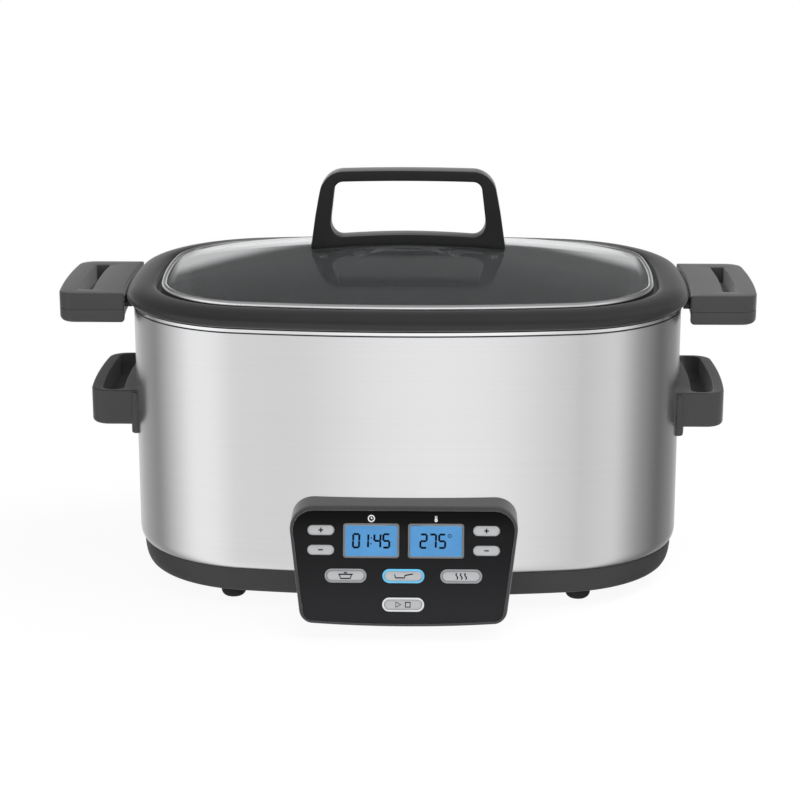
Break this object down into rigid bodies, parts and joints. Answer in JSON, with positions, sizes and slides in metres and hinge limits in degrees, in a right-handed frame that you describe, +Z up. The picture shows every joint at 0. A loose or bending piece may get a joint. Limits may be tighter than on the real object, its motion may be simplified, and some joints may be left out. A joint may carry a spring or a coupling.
{
  "type": "multicooker",
  "caption": "Oval countertop multicooker: brushed steel housing with a sloping control panel, a lift-out cooking pot with two grips and a lift-off domed glass lid.",
  "frame": {"origin": "on the table plane, under the middle of the oval housing", "axes": "+X to the right across the pot grips, -Y towards the control panel, +Z up"},
  "size_m": [0.508, 0.3369, 0.293],
  "materials": {
    "brushed_housing": "fine horizontal brushing",
    "polished_trim": "polished",
    "well_sheet": "aluminised sheet",
    "dark_plastic": "fine moulded texture",
    "black_plastic": "satin",
    "panel_gloss": "gloss film",
    "foot_rubber": "matt",
    "pot_coating": "satin non-stick coating on cast aluminium",
    "lid_clear": "tempered",
    "window_clear": "clear",
    "lcd_screen": "backlit blue",
    "key_silver": "satin silver",
    "ring_grey": "translucent grey",
    "ring_blue": "lit light guide",
    "ring_white": "translucent white",
    "board": "solder mask",
    "bright_steel": "plated",
    "element_sheath": "oxidised steel sheath",
    "brass_post": "turned",
    "ceramic_white": "unglazed ceramic",
    "silicone_grey": "matt"
  },
  "bodies": {
    "base_unit": {"base_tray": "dark_plastic", "feet": "foot_rubber", "housing_shell": "brushed_housing", "top_trim_ring": "polished_trim", "inner_well": "well_sheet", "well_standoffs": "brass_post", "base_screws": "bright_steel", "heating_element": "element_sheath", "element_bushings": "ceramic_white", "element_clips": "bright_steel", "sensor_bush": "bright_steel", "sensor_spring": "bright_steel", "thermal_fuse": "ceramic_white", "power_board": "board", "board_screws": "bright_steel", "heater_leads": "ceramic_white", "panel_ribbon": "silicone_grey", "cord_gland": "black_plastic", "side_handle_left": "dark_plastic", "side_handle_right": "dark_plastic", "side_handle_plates": "well_sheet", "side_handle_screws": "bright_steel", "panel_housing": "dark_plastic", "panel_screws": "bright_steel", "panel_face": "panel_gloss", "time_frame": "key_silver", "temp_frame": "key_silver", "time_window": "window_clear", "temp_window": "window_clear", "time_lcd": "lcd_screen", "temp_lcd": "lcd_screen", "display_board": "board", "display_screws": "bright_steel", "tact_switches": "black_plastic", "slow_ring": "ring_grey", "brown_ring": "ring_blue", "steam_ring": "ring_grey", "start_ring": "ring_white"},
    "pot": {"cooking_pot": "pot_coating", "grip_top_left": "dark_plastic", "grip_top_right": "dark_plastic", "grip_base_left": "dark_plastic", "grip_base_right": "dark_plastic", "grip_screws": "bright_steel"},
    "lid": {"lid_glass": "lid_clear", "lid_band": "polished_trim", "lid_handle": "black_plastic", "lid_gasket": "silicone_grey", "lid_screws": "bright_steel", "lid_washers": "silicone_grey"},
    "sensor": {"sensor_cap": "bright_steel"},
    "time_up_button": {"time_up_key": "key_silver"},
    "time_down_button": {"time_down_key": "key_silver"},
    "temp_up_button": {"temp_up_key": "key_silver"},
    "temp_down_button": {"temp_down_key": "key_silver"},
    "slow_button": {"slow_key": "key_silver"},
    "brown_button": {"brown_key": "key_silver"},
    "steam_button": {"steam_key": "key_silver"},
    "start_button": {"start_key": "key_silver"}
  },
  "joints": [
    {"name": "pot_lift", "type": "slide", "parent": "base_unit", "child": "pot", "axis": [0, 0, 1], "range_m": [0, 0.13]},
    {"name": "lid_lift", "type": "slide", "parent": "pot", "child": "lid", "axis": [0, 0, 1], "range_m": [0, 0.12]},
    {"name": "sensor_press", "type": "slide", "parent": "base_unit", "child": "sensor", "axis": [0, 0, -1], "range_m": [0, 0.003], "stiffness_N_per_m": 500, "springref_m": -0.003, "deforming": ["sensor_spring"]},
    {"name": "time_up_press", "type": "slide", "parent": "base_unit", "child": "time_up_button", "axis": [0, 0.9272, -0.3746], "range_m": [0, 0.0008], "stiffness_N_per_m": 500, "springref_m": -0.0008},
    {"name": "time_down_press", "type": "slide", "parent": "base_unit", "child": "time_down_button", "axis": [0, 0.9272, -0.3746], "range_m": [0, 0.0008], "stiffness_N_per_m": 500, "springref_m": -0.0008},
    {"name": "temp_up_press", "type": "slide", "parent": "base_unit", "child": "temp_up_button", "axis": [0, 0.9272, -0.3746], "range_m": [0, 0.0008], "stiffness_N_per_m": 500, "springref_m": -0.0008},
    {"name": "temp_down_press", "type": "slide", "parent": "base_unit", "child": "temp_down_button", "axis": [0, 0.9272, -0.3746], "range_m": [0, 0.0008], "stiffness_N_per_m": 500, "springref_m": -0.0008},
    {"name": "slow_press", "type": "slide", "parent": "base_unit", "child": "slow_button", "axis": [0, 0.9272, -0.3746], "range_m": [0, 0.0008], "stiffness_N_per_m": 500, "springref_m": -0.0008},
    {"name": "brown_press", "type": "slide", "parent": "base_unit", "child": "brown_button", "axis": [0, 0.9272, -0.3746], "range_m": [0, 0.0008], "stiffness_N_per_m": 500, "springref_m": -0.0008},
    {"name": "steam_press", "type": "slide", "parent": "base_unit", "child": "steam_button", "axis": [0, 0.9272, -0.3746], "range_m": [0, 0.0008], "stiffness_N_per_m": 500, "springref_m": -0.0008},
    {"name": "start_press", "type": "slide", "parent": "base_unit", "child": "start_button", "axis": [0, 0.9272, -0.3746], "range_m": [0, 0.0008], "stiffness_N_per_m": 500, "springref_m": -0.0008}
  ]
}
